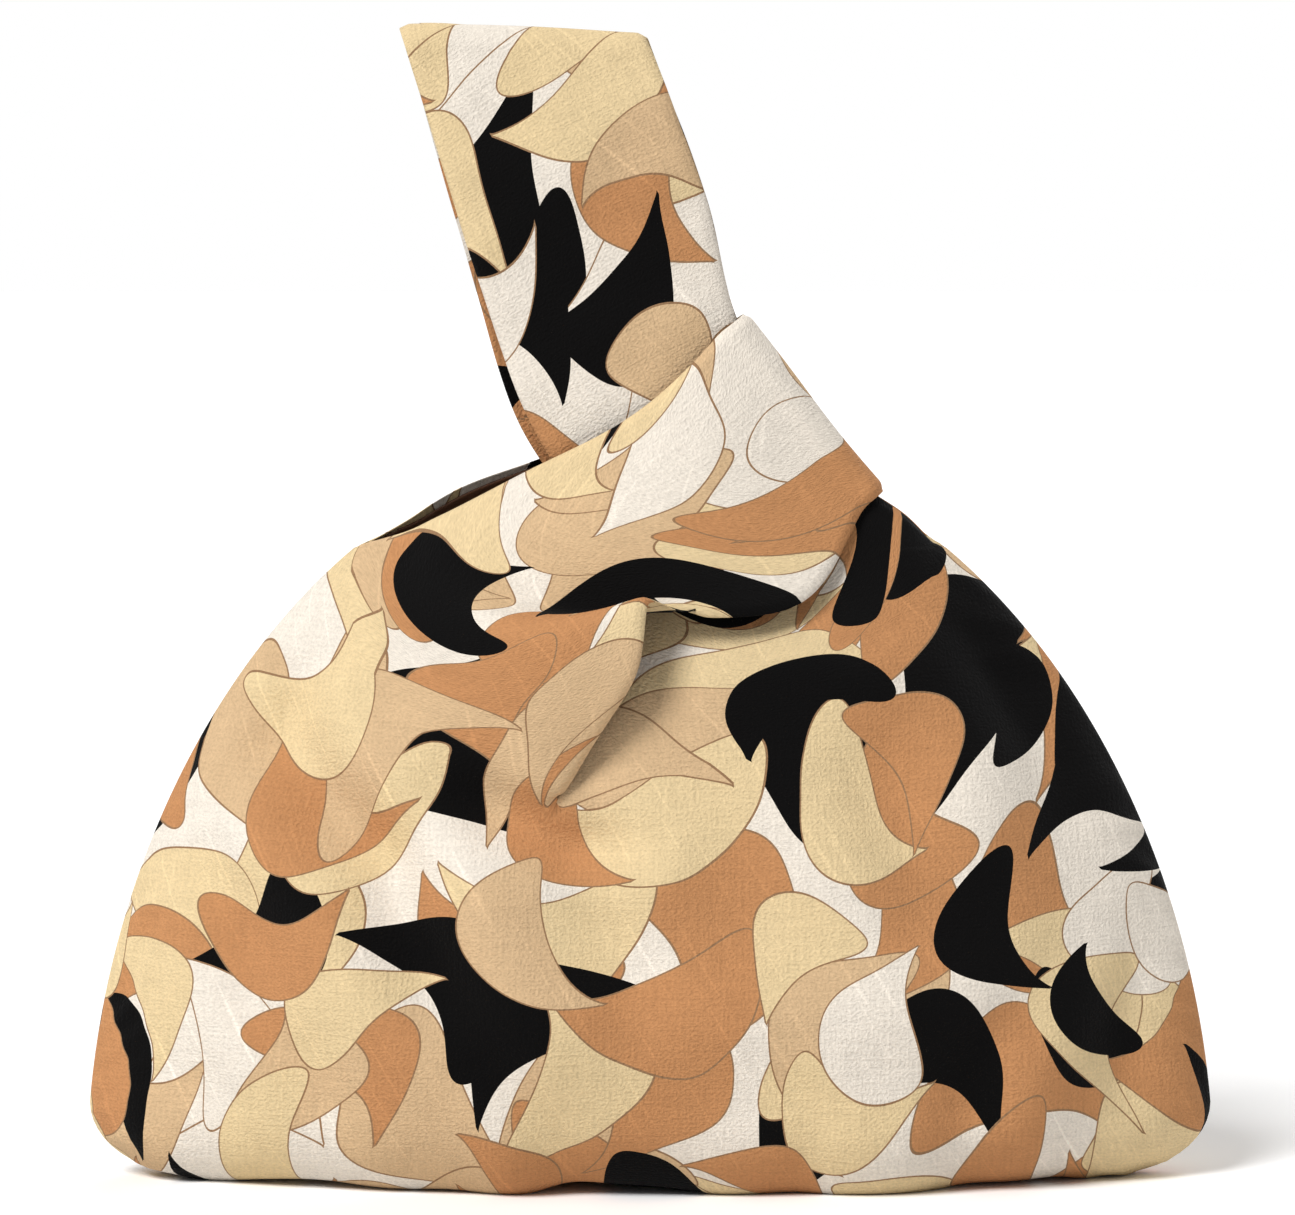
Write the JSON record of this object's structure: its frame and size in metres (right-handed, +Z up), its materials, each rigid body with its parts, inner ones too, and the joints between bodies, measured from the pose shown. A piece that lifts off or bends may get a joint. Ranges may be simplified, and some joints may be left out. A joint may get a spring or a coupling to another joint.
{
  "type": "knot bag",
  "caption": "Soft lined cloth wrist bag, rounded body on a flat base, its long carry loop drawn through a short shoulder loop to close the mouth.",
  "frame": {"origin": "on the floor under the middle of the bag", "axes": "+X to the right seen from the front, +Y from front to back, +Z up"},
  "size_m": [0.338, 0.11, 0.3459],
  "materials": {
    "print": "matt slub cotton, printed",
    "interlining": "matt non-woven",
    "lining": "smooth brown lining cloth",
    "thread": "spun thread"
  },
  "bodies": {
    "bag": {"body_front_outer": "print", "body_back_outer": "print", "body_front_interlining": "interlining", "body_back_interlining": "interlining", "body_front_lining": "lining", "body_back_lining": "lining", "short_loop_front_outer": "print", "short_loop_back_outer": "print", "short_loop_front_lining": "lining", "short_loop_back_lining": "lining", "left_side_seam_thread": "thread", "right_side_seam_thread": "thread", "bottom_seam_thread": "thread", "short_loop_end_seam_thread": "thread"},
    "long_straps": {"long_strap_front_outer": "print", "long_strap_back_outer": "print", "long_strap_front_lining": "lining", "long_strap_back_lining": "lining"},
    "carry_loop": {"carry_loop_front_outer": "print", "carry_loop_back_outer": "print", "carry_loop_front_lining": "lining", "carry_loop_back_lining": "lining", "carry_loop_top_seam_thread": "thread"}
  },
  "joints": [
    {"name": "loop_draw", "type": "slide", "parent": "bag", "child": "long_straps", "axis": [-0.5962, 0, 0.8028], "range_m": [0, 0.02]},
    {"name": "loop_fold", "type": "hinge", "parent": "long_straps", "child": "carry_loop", "pos_m": [-0.01145, 0, 0.25862], "axis": [0.9563, 0, 0.2924], "range_deg": [-100, 100]}
  ]
}
